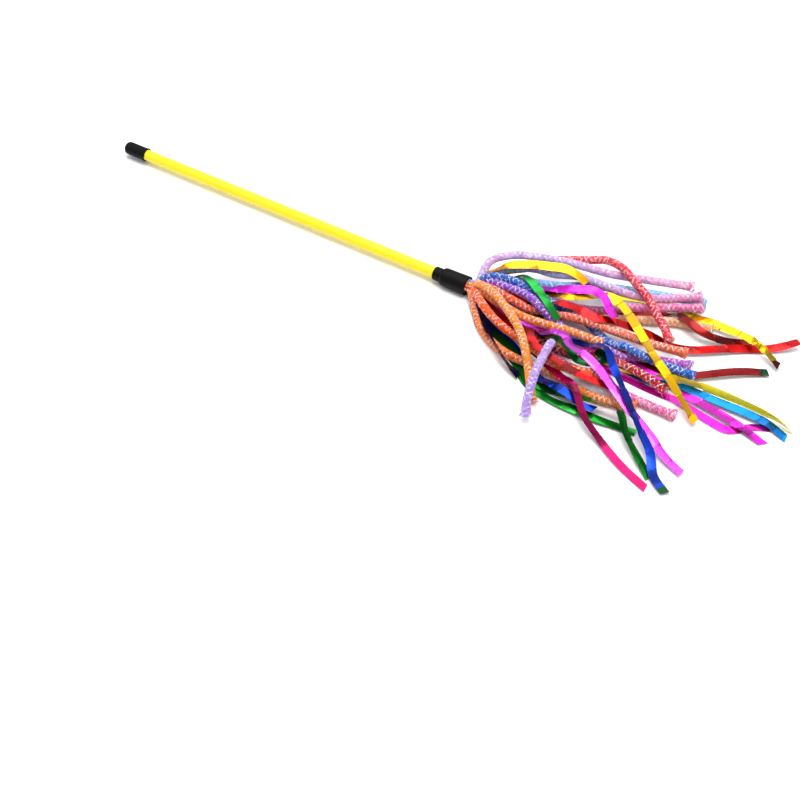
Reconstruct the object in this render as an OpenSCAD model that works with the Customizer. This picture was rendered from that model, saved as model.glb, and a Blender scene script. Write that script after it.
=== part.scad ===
// Cat teaser wand: a hollow rod with a push-on end cap, and a bunch of net tubes
// and foil ribbons bound together in a sleeve on its other end.
// The rod lies along X with its capped end at the origin. All lengths in mm.

/* [Rod] */
// Outside diameter of the rod
rod_d = 8; // [6:0.5:10]
// Wall of the rod
rod_wall = 1; // [0.6:0.1:1.6]
// Length of the rod
rod_len = 276; // [180:2:400]

/* [End cap] */
// Wall of the cap round the rod
cap_wall = 0.7; // [0.5:0.1:1.5]
// How far the cap is pushed over the rod
cap_grip = 16; // [10:1:30]
// Thickness of the cap's closed end
cap_end = 3; // [2:0.5:5]
// How far the cap's lip flares out
cap_flare = 0.3; // [0.1:0.1:0.8]
// Length of the flared lip
cap_lip = 2.5; // [1:0.5:5]

/* [Sleeve] */
// Wall of the sleeve's neck round the rod
neck_wall = 0.75; // [0.5:0.05:1.5]
// Length of the sleeve's neck
neck_len = 6; // [4:0.5:10]
// Length of the rounded shoulder between neck and barrel
shoulder_len = 2.5; // [1.5:0.5:4]
// Diameter of the barrel next to the shoulder
barrel_d = 12.8; // [12:0.2:16]
// Diameter of the barrel at its mouth
mouth_d = 13.5; // [12.5:0.25:17]
// Length of the barrel
barrel_len = 17.5; // [16:0.5:30]
// Bore of the barrel at its mouth
mouth_bore = 11.2; // [10.8:0.1:11.6]
// How far the rod goes into the sleeve
rod_seat = 13; // [10:1:16]

/* [Strands] */
// Diameter of a net tube
net_d = 6; // [4:0.5:6.5]
// Diameter of a net tube where it is bound
net_root_d = 1.4; // [1:0.1:1.5]
// Width of a foil ribbon
foil_w = 5.4; // [3:0.2:6]
// Width of a foil ribbon where it is bound
foil_root_w = 1.3; // [0.8:0.1:1.4]
// Thickness of a foil ribbon
foil_t = 0.3; // [0.1:0.05:0.4]
// Length over which a strand opens out from its bound end
open_len = 36; // [20:1:60]

/* [Binding] */
// Diameter of the wire that binds the strands
wire_d = 0.8; // [0.5:0.1:1.2]
// Turns of the wire
wire_turns = 3; // [2:1:4]
// Radius of the gathered strands where they bend
gather_r = 5.2; // [4.6:0.1:5.3]
// How far the bend lies outside the sleeve's mouth
gather_out = 4; // [3:0.5:5]

/* [Hidden] */
fit_gap = 0.03;
seat_gap = 0.3;
root_gap = 0.7;
edge_r = 0.5;
glue_len = 2.5;
wire_pitch_share = 1.6;
lead_share = 1.35;
wire_gap = 0.15;
route_out = 2;
round_fn = 64;
wire_fn = 6;
net_fn = 8;
wire_steps = 16;
net_steps = 2;
foil_steps = 3;

rod_r = rod_d / 2;
rod_bore_r = rod_r - rod_wall;
cap_r = rod_r + fit_gap + cap_wall;
lip_r = cap_r + cap_flare;
neck_r = rod_r + fit_gap + neck_wall;
neck_x = rod_len - rod_seat;
shoulder_x = neck_x + neck_len;
barrel_x = shoulder_x + shoulder_len;
mouth_x = barrel_x + barrel_len;
bend_x = mouth_x + gather_out;
chamber_r = mouth_bore / 2;
root_r = chamber_r - seat_gap;
root_x = rod_len + glue_len;
root_len = bend_x - gather_r - seat_gap - root_x;
wire_x = root_x + root_len / 2;
wire_pitch = wire_d * wire_pitch_share;
groove_r = root_r - wire_d - wire_gap;
root_out = gather_r + root_gap;
lead_out = root_out * lead_share;

// Colours of the pieces
yellow = "#f8f032";
black = "#1c1b1b";
steel = "#9a9a98";
glue = "#d9d2b4";

// Where each strand leaves the gathered end: [turn to the side, lift], in degrees.
// Its route follows as points [along, aside, up] in mm, measured from the rod's line
// at route_out beyond the sleeve's mouth. A ribbon's points add its twist in degrees.
lilac_arch_root = [66, 47];
lilac_arch_route = [[5, 17, 13], [16, 29, 15], [34, 37, 15], [55, 45, 13], [77, 52, 10], [99, 64, 6],
    [128, 78, 3]];
rose_arch_root = [60, 8];
rose_arch_route = [[14, 22, 5], [25, 33, 5], [36, 45, 8], [57, 56, 10], [71, 60, 13], [85, 56, 15],
    [97, 49, 14], [110, 43, 11], [121, 34, 9], [132, 26, 6], [139, 19, 4]];
blue_root = [26, 58];
blue_route = [[11, 5.6, 10.4], [23, 10.6, 10], [40, 11.6, 7.6], [56, 11, 4.4], [71, 11, 3], [84, 12, -2],
    [98, 6, -3], [108, 2, -1], [117, 0, 3.5], [126, -2, 4], [146, -2, 3], [166, 2, 0]];
purple_root = [14, 38];
purple_route = [[12, 3, 8], [27, 4.6, 8.6], [42, 4, 8.8], [56, -2, 8.8], [71, -6, 4.4], [91, -5.6, 0],
    [106, -5.6, 0], [116, -3.6, -3], [124, 1, -3], [140, 7, -3], [160, 11, -1]];
amber_root = [-28, 58];
amber_route = [[9, -4, 9.6], [19, -8, 12.4], [30, -13, 12.4], [41, -20, 12], [53, -29, 12],
    [64, -40, 10], [76, -54, 2.6], [88, -71, -3]];
orange_root = [-26, 34];
orange_route = [[12, -5, 6.4], [23, -9, 6.4], [37, -12, 6.4], [49, -15, 8], [64, -15, 9.2], [83, -12, 9],
    [104, -8, 6]];
flame_root = [-66, 4];
flame_route = [[10, -12, -0.6], [18, -21, -2.4], [29, -31, -3], [44, -39, -2.7], [58, -42, -2.6],
    [74, -41.4, -2.6], [89, -41.6, -3], [104, -45, -3], [122, -46, -3], [136, -43, -3], [146, -40, -3]];
tangerine_root = [-46, 34];
tangerine_route = [[11, -10, 5.6], [20, -17, 5.8], [30, -23, 5.4], [44, -28.6, 4.8], [58, -31.4, 4.5],
    [70, -35, 4.4], [81, -39, 4.4], [96, -39, 4.4], [113, -33, 3.4]];
coral_root = [-6, 36];
coral_route = [[14, -1, 7], [26, -2, 7], [36, -2, 5.4], [45, -1, 2.9], [52, 1, 3.1], [65, 4, 3],
    [76, 4, 6], [91, 8, 4], [108, 9, 4], [132, 11, 4], [153, 17, 2]];
lilac_tail_root = [1, -14];
lilac_tail_route = [[16, 1, -3], [32, -2.6, -3], [52, -5.6, -2.6], [62, -7, -1.6], [70, -13, 1],
    [76, -23.4, 5.2], [79, -34, 12.4], [81, -45, 13], [84, -61, 12], [87, -73, 8], [89, -80, 3],
    [92, -86, -2]];
pale_blue_root = [46, -8];
pale_blue_route = [[17, 18, 0], [30, 23, 2], [43, 23, 6], [57, 28, 7], [71, 39, 6], [91, 51, 3],
    [113, 62, 0], [140, 73, -2]];
pink_root = [31, -14];
pink_route = [[18, 12, -3], [36, 19, -3], [54, 22, -3], [72, 23, -2], [87, 29, -1], [100, 38, 1],
    [114, 45, 2], [127, 55, 1], [140, 66, -1]];
peach_root = [16, -14];
peach_route = [[20, 7, -3], [38, 11, -3], [55, 14, -3], [72, 16, -3], [90, 23, -3], [105, 32, -3],
    [122, 42, -3], [140, 49, -3], [155, 52, -3]];
crimson_net_root = [-20, -14];
crimson_net_route = [[20, -5, -3], [36, -10.8, -3], [54, -15, -3], [72, -20.6, -3], [88, -17, -3],
    [102, -14, -1], [125, -13, 0], [141, -15, 0], [156, -18, -2]];
rose_low_root = [-34, -16];
rose_low_route = [[21, -10, -3], [37, -18, -3], [55, -22, -3], [73, -27, -3], [92, -30, -3],
    [112, -29, -3], [130, -33, -3], [150, -34, -3], [170, -34, -3]];
white_root = [46, 34];
white_route = [[13, 15.6, 9.4], [31, 29, 10], [47, 31, 11], [62, 35, 13], [78, 38, 11], [95, 42, 8],
    [112, 50.6, 5], [128, 63, 4.4], [138, 70, 5]];

gold_short_root = [46, 51];
gold_short_route = [[8, 8, 10.6, 0], [14, 14, 13, 0], [20, 20, 14.6, -10], [31, 25.6, 16, -20],
    [43, 29, 17.4, -25], [53, 33, 17, -25], [64, 32, 16.4, -10], [71, 30, 14.6, 0]];
two_tone_root = [21, 20];
two_tone_route = [[12, 3.4, 3.4, 0], [25, 7.4, 1.8, 0], [38, 10.6, 2, 0], [47, 15.6, 3.4, -30],
    [52, 16.8, 6, -40], [58, 16.2, 9, -20], [66, 14.6, 11.6, -10], [74, 21, 11, -10], [82, 29, 9.8, -10],
    [90, 31, 10, -20], [100, 28, 9, -10], [112, 19, 9, -5], [125, 8, 9, 0], [138, -3, 9, 5],
    [152, -12, 6.6, 10], [167, -22, 2, 15], [183, -32, -3, 10]];
green_band_root = [44, 20];
green_band_route = [[11, 8.4, 4.6, 0], [21, 15, 5.4, 0], [29, 19, 9.6, 10], [36, 15, 13, 0],
    [48, 8, 12.8, 0], [58, 1, 12.6, 0], [70, -6, 8.6, 10]];
magenta_root = [33, 10];
magenta_route = [[12, 6.4, 2.4, 0], [24, 11, 2.8, 0], [34, 15.8, 3.6, 0], [44, 17.6, 6.2, 10],
    [56, 18.6, 11, -10], [67, 21, 14, -20], [78, 27, 13.6, -20], [88, 24, 14, 0], [96, 16, 13, 10],
    [102, 12, 12.4, 20]];
red_long_root = [9, 13];
red_long_route = [[12, 1.4, 2.6, 0], [25, 2.8, 2.9, 0], [38, 5.4, 3.4, 0], [46, 6.3, 4.3, 20],
    [53, 6.1, 7.6, 55], [61, 7, 10.2, 10], [72, 9, 10.5, -10], [88, 9, 8.8, -15], [100, 13, 8, -10],
    [112, 16, 6, -10], [126, 21, 1, -10], [138, 22, -2, -10], [150, 26, -3, -15], [163, 35, -3, -15],
    [177, 46, -4, -15], [190, 55, -5, -10], [200, 62, -3, -10], [208, 70, -1, 0]];
wine_curve_root = [34, -31];
wine_curve_route = [[12, 7, -5.4, 0], [24, 14, -6.4, 0], [45, 17, -6.4, 0], [70, 27, -6.4, 0],
    [95, 40, -6.4, 0], [115, 49, -5.4, 0], [124, 50.4, -3.7, 0], [131, 49.4, 1, 0], [140, 45, 2.6, -20],
    [153, 42, 0.6, -20], [167, 48, -4, -10], [180, 57.5, -6.2, 0]];
gold_knot_root = [50, -24];
gold_knot_route = [[12, 13, -5, 0], [22, 22, -6.4, 0], [40, 32, -6.4, 0], [65, 42, -6.4, 0],
    [95, 56, -6.4, 0], [118, 62, -6.4, 0], [138, 60, -5.4, 0], [150, 58, -3, -20], [165, 57, -2, -20],
    [180, 54, 0, -10], [188, 50, 1.6, -50], [196, 48, -1, 20], [206, 43, -3, 0]];
ruby_root = [14, -31];
ruby_route = [[12, 1, -5.4, 0], [24, 1, -6.4, 0], [50, 2, -6.4, 0], [80, 3, -6.4, 0], [110, 5, -6.4, 0],
    [140, 2, -6.4, 0], [158, 4, -5, 0], [168, 10, -3.4, -10], [180, 20, -3, -10], [190, 28, -3.6, -10],
    [202, 36, -5, 0]];
azure_root = [-25, -31];
azure_route = [[12, -4.6, -5.4, 0], [26, -9.6, -6.4, 0], [50, -11, -6.4, 0], [80, -10, -6.4, 0],
    [115, -9, -6.4, 0], [142, -11, -6.2, 0], [157, -6, -4.4, 0], [172, -6.6, -4, -10],
    [190, -7, -3.4, -10], [208, -7, -3.4, -10], [222, -8, -4, 0], [236, -12, -6, 0]];
gold_edge_root = [-9.5, -22.5];
gold_edge_route = [[12, -1.2, -3.1, 80], [20, -2.6, -3.2, 90], [27, -4.2, -3.2, 90],
    [36, -6.8, -3.2, 90], [50, -9.8, -3.3, 90], [62, -11.6, -4.1, 45], [70, -11, -5.6, 0],
    [80, -10, -5.8, 0], [104, -10, -5.8, 0], [125, -10, -5.6, 0], [140, -8.6, -3.6, 40],
    [152, -6.6, -0.9, 80], [170, -3.6, -0.6, 90], [190, -2, -1.2, 90], [210, -2, -2, 90],
    [226, -3, -3, 80], [236, -6, -4, 60]];
fuchsia_root = [-6, -31];
fuchsia_route = [[12, -1.8, -5.4, 0], [26, -4, -6.4, 0], [50, -5, -6.4, 0], [80, -4, -6.4, 0],
    [115, -3, -6.4, 0], [145, -4.6, -6.4, 0], [162, -10, -5.6, 0], [180, -14, -4, -10],
    [195, -17, -3.6, -10], [210, -20, -4, 0], [226, -24, -6, 0]];
fuchsia_edge_root = [-43, -31];
fuchsia_edge_route = [[11, -6.6, -4.8, 0], [26, -14.6, -6.4, 0], [50, -17.6, -6.4, 0],
    [80, -17, -6.4, 0], [115, -16, -6.4, 0], [145, -18, -6.4, 0], [165, -18, -6, 0], [178, -21, -5.6, 0],
    [190, -24, -5.4, -10], [202, -25, -5.4, -10], [214, -14, -6.3, 0], [223, -9, -6.4, 0]];
orchid_root = [-15, 10];
orchid_route = [[12, -3.4, 1.2, 0], [26, -9.8, 1.2, 0], [40, -14, 1.2, 0], [54, -15.6, 3.2, 0],
    [62, -17, 5.2, 0], [68, -21.4, 8.6, 0], [76, -20.8, 12.8, 0], [84, -22.4, 14, 0], [90, -27, 13, 10],
    [102, -29, 11.6, 0], [116, -34, 9, 0], [130, -42, 7, 0], [145, -50, 4, 0], [165, -60, 0, 0],
    [180, -69, -3, 0], [195, -75, -5, 0]];
navy_root = [-3, 20];
navy_route = [[12, -1, 3.4, 0], [26, -4.6, 1.2, 0], [40, -8, 1.4, 0], [54, -10, 2.6, 0],
    [62, -11.6, 4, 0], [70, -12.4, 5.1, 0], [80, -12.6, 5, 0], [92, -15, 5.4, 0], [100, -16.4, 9, 0],
    [106, -16.4, 12, 10], [112, -18, 13, 20], [122, -28, 11, 10], [133, -38, 9, 20], [145, -50, 9, 30],
    [158, -62, 5, 20], [172, -73, 0, 10], [182, -87, -4, 0], [194, -95, -5, 0]];
fern_root = [-66, -14];
fern_route = [[12, -12, -4, 0], [26, -23.4, -5.7, 0], [44, -29.6, -5.9, 0], [60, -39, -6, 0],
    [76, -52.6, -5.7, 0], [100, -53, -4.4, 0], [122, -53, 0.6, 20], [140, -54, 3, 30], [152, -67, 1, 40],
    [165, -77, -3, 20], [180, -88, -5.8, 0]];
green_arc_root = [-62, -30];
green_arc_route = [[12, -13.2, -5.6, 0], [26, -26.9, -6.4, 0], [44, -32.8, -6.4, 0],
    [60, -42.4, -6.4, 0], [76, -55.4, -6.4, 0], [97, -61, -5.6, 0], [112, -62, -4, -10],
    [125, -62, -4, -10], [140, -60, -5, 0], [155, -58, -6, 0]];
cobalt_root = [-50, -44];
cobalt_route = [[11, -10.4, -6, 0], [26, -20.3, -6.4, 0], [44, -26, -6.4, 0], [60, -35, -6.4, 0],
    [73, -43.4, -6.3, 0], [82, -49, -4, 0], [94, -53.6, 0.6, -10], [106, -57, 2, -10],
    [118, -60, 0.6, 0], [126, -58, -0.6, 0]];
hot_pink_root = [-40, 10];
hot_pink_route = [[12, -8.6, 1.4, 0], [24, -15.6, 1, 0], [36, -21, 1.2, 0], [46, -25.4, 1.2, 0],
    [60, -31, 1.4, 0], [74, -36, 1, 0], [86, -41, 0.8, 0], [95, -46, 2.2, 0], [104, -50, 4, 0],
    [112, -57, 5, 20], [124, -69, 1.6, 20], [140, -77, -4, 10], [160, -88, -5.6, 0], [182, -97, -6, 0]];
scarlet_root = [-27, 20];
scarlet_route = [[12, -6.4, 3, 0], [23, -13, 1.6, 0], [34, -17, 1.8, 0], [45, -19.6, 2.8, 10],
    [53, -21, 5.6, 45], [58, -23.4, 8.8, 30], [64, -31, 9.6, 10], [73, -37, 9, 0], [86, -40, 8.4, 0],
    [100, -42, 8, 0], [115, -42, 6.6, 0], [129, -39, 4, 0]];
ink_root = [-56, 20];
ink_route = [[11, -9.6, 2.8, 0], [19, -17, 2.2, 0], [26, -24.4, 1.4, 10], [33, -33, 2.6, 40],
    [44, -42, 2.6, 45], [56, -49, -1.4, 40], [68, -53, -4.6, 10]];
green_curl_root = [8, 0];
green_curl_route = [[14, 2.6, 0.4, 0], [30, 3, 0.5, 0], [38, 4.6, 0.2, 0], [45, 5, -0.4, 0],
    [51, 2, -0.8, 0], [56, -5, 1.1, 0], [61, -12.4, 1.8, 0], [68, -19, 5.4, 0], [75, -22.2, 9.8, 10],
    [83, -25, 10.4, 20], [91, -29, 9, 20], [101, -32, 7, 10], [110, -28, 6.4, 20], [112, -21, 6.4, 20],
    [104, -16, 7, 10]];

// Unit vector of a direction given as [turn to the side, lift] in degrees.
function heading(a) = [cos(a[1]) * cos(a[0]), cos(a[1]) * sin(a[0]), sin(a[1])];

// Slope at c of a smooth curve through b, c and d, where the run to the next point counts
// by the root of its length, so that a short run beside a long one makes no loop.
function slope(b, c, d) =
    let (u = sqrt(norm(place(c - b))), v = sqrt(norm(place(d - c))))
    (c - b) / u - (d - b) / (u + v) + (d - c) / v;

// Smooth curve through the points p, at a share t of the way from point i to the next.
function curve_at(p, i, t) =
    let (b = p[i], c = p[i + 1], run = sqrt(norm(place(c - b))), chord = (c - b) / run)
    let (m = i > 0 ? slope(p[i - 1], b, c) : chord, n = i + 2 < len(p) ? slope(b, c, p[i + 2]) : chord)
    b + run * m * t + (3 * chord - 2 * m - n) * run * t * t + (m + n - 2 * chord) * run * t * t * t;

function trail(p, steps) = [
    for (i = [0 : len(p) - 2], k = [0 : steps - 1]) curve_at(p, i, k / steps),
    p[len(p) - 1]
];

function place(q) = [q.x, q.y, q.z];

// Direction of the trail q at its point k.
function along(q, k) =
    let (d = place(q[min(k + 1, len(q) - 1)]) - place(q[max(k - 1, 0)]))
    d / norm(d);

// Distance run along the trail q from point k, where s has been run, to each later point.
function distances(q, k = 0, s = 0) = k == len(q) - 1 ? [s]
    : concat([s], distances(q, k + 1, s + norm(place(q[k + 1]) - place(q[k]))));

// Outline of a strand's section, turned square to its run and twisted. Where the strand
// may climb straight up, lean tips the section's up back towards the rod.
function section_at(q, k, outline, half_w, half_t, lean) =
    let (t = along(q, k), across = cross(t, [-lean, 0, 1]))
    let (side = across / norm(across), up = cross(side, t))
    let (w = side * cos(q[k][3]) + up * sin(q[k][3]), h = up * cos(q[k][3]) - side * sin(q[k][3]))
    [for (o = outline) place(q[k]) + w * o.x * half_w + h * o.y * half_t];

// Faces of a strand. Its two opposite sides are cut along the same diagonal, so that the walls of
// a thin strip keep apart where it twists.
function strand_faces(rings, n) = concat(
    [for (k = [0 : rings - 2], j = [0 : n - 1])
        let (a = k * n + j, b = k * n + (j + 1) % n, c = a + n, d = b + n)
        each j < n / 2 ? [[a, b, d], [a, d, c]] : [[a, b, c], [b, d, c]]],
    [for (j = [1 : n - 2]) [0, j + 1, j]],
    [for (j = [1 : n - 2]) [(rings - 1) * n, (rings - 1) * n + j, (rings - 1) * n + j + 1]]
);

// A strand opens out from its bound end to its full width over open_len.
module strand(root, route, steps, outline, root_half_w, half_w, root_half_t, half_t) {
    bend = [gather_out - route_out, 0, 0];
    start = bend + heading(root) * root_out;
    lead = bend + heading(root) * lead_out;
    route_points = [for (p = route) [p.x, p.y, p.z, len(p) > 3 ? p[3] : 0]];
    points = concat([[each start, 0], [each lead, 0]], route_points);
    q = trail(points, steps);
    s = distances(q);
    rings = [
        for (k = [0 : len(q) - 1])
        let (open_share = sin(min(s[k] / open_len, 1) * 90))
        each section_at(q, k, outline, root_half_w + (half_w - root_half_w) * open_share,
            root_half_t + (half_t - root_half_t) * open_share, 1 - open_share)
    ];
    translate([mouth_x + route_out, 0, 0]) polyhedron(rings, strand_faces(len(q), len(outline)));
}

// Tube of woven net, drawn as the closed tube that it fills.
module net_tube(root, route) {
    outline = [for (j = [0 : net_fn - 1]) [cos((j + 0.5) * 360 / net_fn), sin((j + 0.5) * 360 / net_fn)]];
    strand(root, route, net_steps, outline, net_root_d / 2, net_d / 2, net_root_d / 2, net_d / 2);
}

// Ribbon of metallised foil.
module foil_ribbon(root, route) {
    outline = [[1, 1], [-1, 1], [-1, -1], [1, -1]];
    strand(root, route, foil_steps, outline, foil_root_w / 2, foil_w / 2, foil_t / 2, foil_t / 2);
}

// Turns an outline drawn as [radius, distance along the rod] round the rod's axis.
module turned(outline) {
    rotate([0, 90, 0]) rotate_extrude($fn = round_fn) polygon(outline);
}

// Quarter arc round c, of radii r, from angle a on.
function quarter(c, r, a) = [for (k = [0 : 15 : 90]) c + [r.x * cos(a + k), r.y * sin(a + k)]];

module rod_tube() {
    color(yellow) turned([[rod_bore_r, 0], [rod_r, 0], [rod_r, rod_len], [rod_bore_r, rod_len]]);
}

// Soft cap with a domed closed end and a flared lip.
module end_cap() {
    color(black) turned(concat(
        [[0, -cap_end]],
        quarter([cap_r - cap_end, 0], [cap_end, cap_end], -90),
        [[cap_r, cap_grip - cap_lip]],
        quarter([lip_r - edge_r, cap_grip - edge_r], [edge_r, edge_r], 0),
        [[rod_r + fit_gap, cap_grip], [rod_r + fit_gap, 0], [0, 0]]
    ));
}

// Sleeve: a neck that grips the rod, a rounded shoulder, and a barrel that holds the strands.
module sleeve() {
    color(black) turned(concat(
        [[rod_r + fit_gap, neck_x]],
        quarter([neck_r - edge_r, neck_x + edge_r], [edge_r, edge_r], -90),
        [[neck_r, shoulder_x]],
        quarter([neck_r, barrel_x], [barrel_d / 2 - neck_r, shoulder_len], -90),
        quarter([mouth_d / 2 - edge_r, mouth_x - edge_r], [edge_r, edge_r], 0),
        [[chamber_r, mouth_x], [chamber_r, rod_len], [rod_r + fit_gap, rod_len]]
    ));
}

// Glue that closes the rod's end and holds the bound strands in the barrel.
module glue_plug() {
    plug_r = chamber_r - fit_gap;
    color(glue) turned([[0, rod_len], [plug_r, rod_len], [plug_r, root_x], [0, root_x]]);
}

// Inner ends of all the strands, pressed together and bound, with a waist under the wire.
module bundle_root() {
    waist = wire_turns * wire_pitch / 2 + wire_d / 2;
    color("peru") turned([
        [0, root_x], [root_r, root_x], [root_r, wire_x - waist], [groove_r, wire_x - waist],
        [groove_r, wire_x + waist], [root_r, wire_x + waist],
        [root_r, root_x + root_len], [0, root_x + root_len]
    ]);
}

// Wire wound round the strands' inner ends.
module tie_wire() {
    coil_r = groove_r + wire_gap + wire_d / 2;
    count = wire_turns * wire_steps;
    coil = [
        for (k = [0 : count])
        let (a = k * 360 / wire_steps, u = [0, cos(a), sin(a)])
        for (j = [0 : wire_fn - 1])
        let (b = j * 360 / wire_fn)
        [wire_x + (k / count - 0.5) * wire_turns * wire_pitch, 0, 0] + u * (coil_r + cos(b) * wire_d / 2)
            + [sin(b) * wire_d / 2, 0, 0]
    ];
    color(steel) polyhedron(coil, strand_faces(count + 1, wire_fn));
}

// The strands where they leave the barrel, still packed together: here the bunch bends.
module bundle_gather() {
    color("sandybrown") translate([bend_x, 0, 0]) sphere(r = gather_r, $fn = round_fn);
}

module net_lilac_arch() { color("#e3cbe8") net_tube(lilac_arch_root, lilac_arch_route); }
module net_rose_arch() { color("#ee8f98") net_tube(rose_arch_root, rose_arch_route); }
module net_blue() { color("#4f83c4") net_tube(blue_root, blue_route); }
module net_purple() { color("#a06cc0") net_tube(purple_root, purple_route); }
module net_amber() { color("#f6a24c") net_tube(amber_root, amber_route); }
module net_orange() { color("#f39a45") net_tube(orange_root, orange_route); }
module net_flame() { color("#f58a3c") net_tube(flame_root, flame_route); }
module net_tangerine() { color("#f2702a") net_tube(tangerine_root, tangerine_route); }
module net_coral() { color("#ee7a55") net_tube(coral_root, coral_route); }
module net_lilac_tail() { color("#cdb0de") net_tube(lilac_tail_root, lilac_tail_route); }
module net_pale_blue() { color("#a9c6e2") net_tube(pale_blue_root, pale_blue_route); }
module net_pink() { color("#ee9fc0") net_tube(pink_root, pink_route); }
module net_peach() { color("#f8c39c") net_tube(peach_root, peach_route); }
module net_crimson() { color("#b3303a") net_tube(crimson_net_root, crimson_net_route); }
module net_rose_low() { color("#e0688e") net_tube(rose_low_root, rose_low_route); }
module net_white() { color("#dcd9ec") net_tube(white_root, white_route); }
module foil_gold_short() { color("#f2b21a") foil_ribbon(gold_short_root, gold_short_route); }
module foil_two_tone() { color("#f5c51c") foil_ribbon(two_tone_root, two_tone_route); }
module foil_green_band() { color("#2fae4a") foil_ribbon(green_band_root, green_band_route); }
module foil_magenta() { color("#d128c4") foil_ribbon(magenta_root, magenta_route); }
module foil_red_long() { color("#d8171b") foil_ribbon(red_long_root, red_long_route); }
module foil_wine_curve() { color("#8d1518") foil_ribbon(wine_curve_root, wine_curve_route); }
module foil_gold_knot() { color("#f0d020") foil_ribbon(gold_knot_root, gold_knot_route); }
module foil_ruby() { color("#8f1217") foil_ribbon(ruby_root, ruby_route); }
module foil_azure() { color("#1e90e6") foil_ribbon(azure_root, azure_route); }
module foil_gold_edge() { color("#efe06a") foil_ribbon(gold_edge_root, gold_edge_route); }
module foil_fuchsia() { color("#f03adf") foil_ribbon(fuchsia_root, fuchsia_route); }
module foil_fuchsia_edge() { color("#d92fb8") foil_ribbon(fuchsia_edge_root, fuchsia_edge_route); }
module foil_orchid() { color("#ec6cf0") foil_ribbon(orchid_root, orchid_route); }
module foil_navy() { color("#12287e") foil_ribbon(navy_root, navy_route); }
module foil_fern() { color("#23772b") foil_ribbon(fern_root, fern_route); }
module foil_green_arc() { color("#1f8a2c") foil_ribbon(green_arc_root, green_arc_route); }
module foil_cobalt() { color("#1c46c8") foil_ribbon(cobalt_root, cobalt_route); }
module foil_hot_pink() { color("#ea1778") foil_ribbon(hot_pink_root, hot_pink_route); }
module foil_scarlet() { color("#c41a1c") foil_ribbon(scarlet_root, scarlet_route); }
module foil_ink() { color("#14163a") foil_ribbon(ink_root, ink_route); }
module foil_green_curl() { color("#1b6b33") foil_ribbon(green_curl_root, green_curl_route); }

rod_tube();
end_cap();
sleeve();
glue_plug();
bundle_root();
tie_wire();
bundle_gather();
net_lilac_arch();
net_rose_arch();
net_blue();
net_purple();
net_amber();
net_orange();
net_flame();
net_tangerine();
net_coral();
net_lilac_tail();
net_pale_blue();
net_pink();
net_peach();
net_crimson();
net_rose_low();
net_white();
foil_gold_short();
foil_two_tone();
foil_green_band();
foil_magenta();
foil_red_long();
foil_wine_curve();
foil_gold_knot();
foil_ruby();
foil_azure();
foil_gold_edge();
foil_fuchsia();
foil_fuchsia_edge();
foil_orchid();
foil_navy();
foil_fern();
foil_green_arc();
foil_cobalt();
foil_hot_pink();
foil_scarlet();
foil_ink();
foil_green_curl();
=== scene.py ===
import math

import bmesh
import bpy
import numpy as np
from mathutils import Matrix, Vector


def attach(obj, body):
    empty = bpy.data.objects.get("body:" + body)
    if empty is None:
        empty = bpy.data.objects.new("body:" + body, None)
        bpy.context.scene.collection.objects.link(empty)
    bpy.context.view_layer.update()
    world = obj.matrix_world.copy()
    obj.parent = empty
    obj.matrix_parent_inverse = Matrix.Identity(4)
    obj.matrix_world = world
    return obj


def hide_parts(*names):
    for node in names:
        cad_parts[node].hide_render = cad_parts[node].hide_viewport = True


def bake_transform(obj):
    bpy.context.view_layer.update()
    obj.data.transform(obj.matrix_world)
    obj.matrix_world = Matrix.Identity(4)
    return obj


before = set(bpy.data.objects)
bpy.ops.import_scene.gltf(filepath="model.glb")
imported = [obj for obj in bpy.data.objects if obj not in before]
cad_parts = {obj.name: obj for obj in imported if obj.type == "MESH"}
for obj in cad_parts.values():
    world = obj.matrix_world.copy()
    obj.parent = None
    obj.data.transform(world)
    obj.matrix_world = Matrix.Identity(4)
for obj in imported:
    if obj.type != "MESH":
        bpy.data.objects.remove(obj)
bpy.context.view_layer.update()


# The studio: a white table top seen from above at about 44 degrees, a large soft box over it,
# a pale card behind it that flat foil mirrors towards the camera, and a room that is light
# overhead and dim at the sides, so that tilted foil and black plastic stay dark. Seen directly,
# the room is a plain pale backdrop.
MM = 0.001
TABLE_Z = -6.8 * MM
TABLE_HALF = 12.0
TABLE_PATCHES = 30.0        # per metre, so they are about 33 mm long
CAMERA_AT = Vector((0.7628, -0.8244, 0.8093))
CAMERA_WAY = Vector((-0.3883, 0.6063, -0.6940))
LAMPS_AIM = Vector((0.3, 0, 0))
# The places of the colour sockets on a Mix node, and of the plain number on a Random Value node.
COLOUR_A, COLOUR_B, COLOUR_OUT = 6, 7, 2
RANDOM_NUMBER = 1


def linear(code):
    """sRGB hex colour as a linear colour with alpha."""
    channels = [int(code[i:i + 2], 16) / 255 for i in (1, 3, 5)]
    return [c / 12.92 if c <= 0.04045 else ((c + 0.055) / 1.055) ** 2.4 for c in channels] + [1.0]


def add(tree, kind, inputs=(), **settings):
    """Adds a node: its settings, then its inputs, each a value or a socket to link."""
    node = tree.nodes.new(kind)
    for name, value in settings.items():
        setattr(node, name, value)
    for name, value in dict(inputs).items():
        if isinstance(value, bpy.types.NodeSocket):
            tree.links.new(value, node.inputs[name])
        else:
            node.inputs[name].default_value = value
    return node


def start_material(name):
    """An empty material's tree and its output node."""
    material = bpy.data.materials.new(name)
    material.use_nodes = True
    tree = material.node_tree
    tree.nodes.clear()
    return material, tree, tree.nodes.new("ShaderNodeOutputMaterial")


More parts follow.
